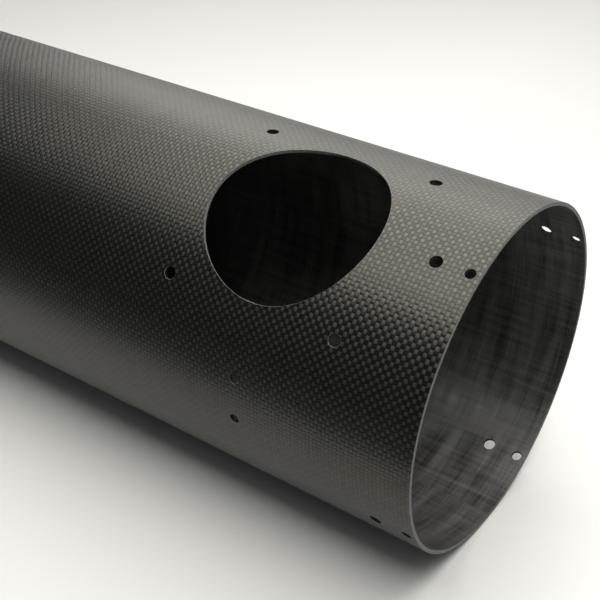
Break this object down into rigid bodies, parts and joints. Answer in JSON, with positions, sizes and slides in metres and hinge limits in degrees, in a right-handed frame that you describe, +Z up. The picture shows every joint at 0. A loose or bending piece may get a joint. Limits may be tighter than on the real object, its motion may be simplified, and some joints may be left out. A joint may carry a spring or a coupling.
{
  "type": "telescope tube",
  "caption": "Open-ended round carbon-fibre tube of a Newtonian telescope, with a round focuser opening in its side and screw holes for focuser, finder, spider and end rings.",
  "frame": {"origin": "centre of the open front end, on the tube's axis, in the plane of the cut rim", "axes": "+X out of the front end along the tube's axis, +Z up as the tube lies on its side, with the focuser opening turned 26.7 degrees from +Z towards -Y"},
  "size_m": [0.6, 0.1599, 0.16],
  "materials": {
    "woven_carbon": "satin",
    "ud_carbon": "matte",
    "inner_carbon": "matte"
  },
  "bodies": {
    "root": {"inner_hoop_ply": "inner_carbon", "outer_woven_skin": "woven_carbon", "ply_02_axial": "ud_carbon", "ply_03_bias_left": "ud_carbon", "ply_04_bias_right": "ud_carbon", "ply_05_axial": "ud_carbon", "ply_06_hoop": "ud_carbon", "ply_07_axial": "ud_carbon", "ply_08_bias_right": "ud_carbon", "ply_09_bias_left": "ud_carbon", "ply_10_axial": "ud_carbon"}
  },
  "joints": []
}
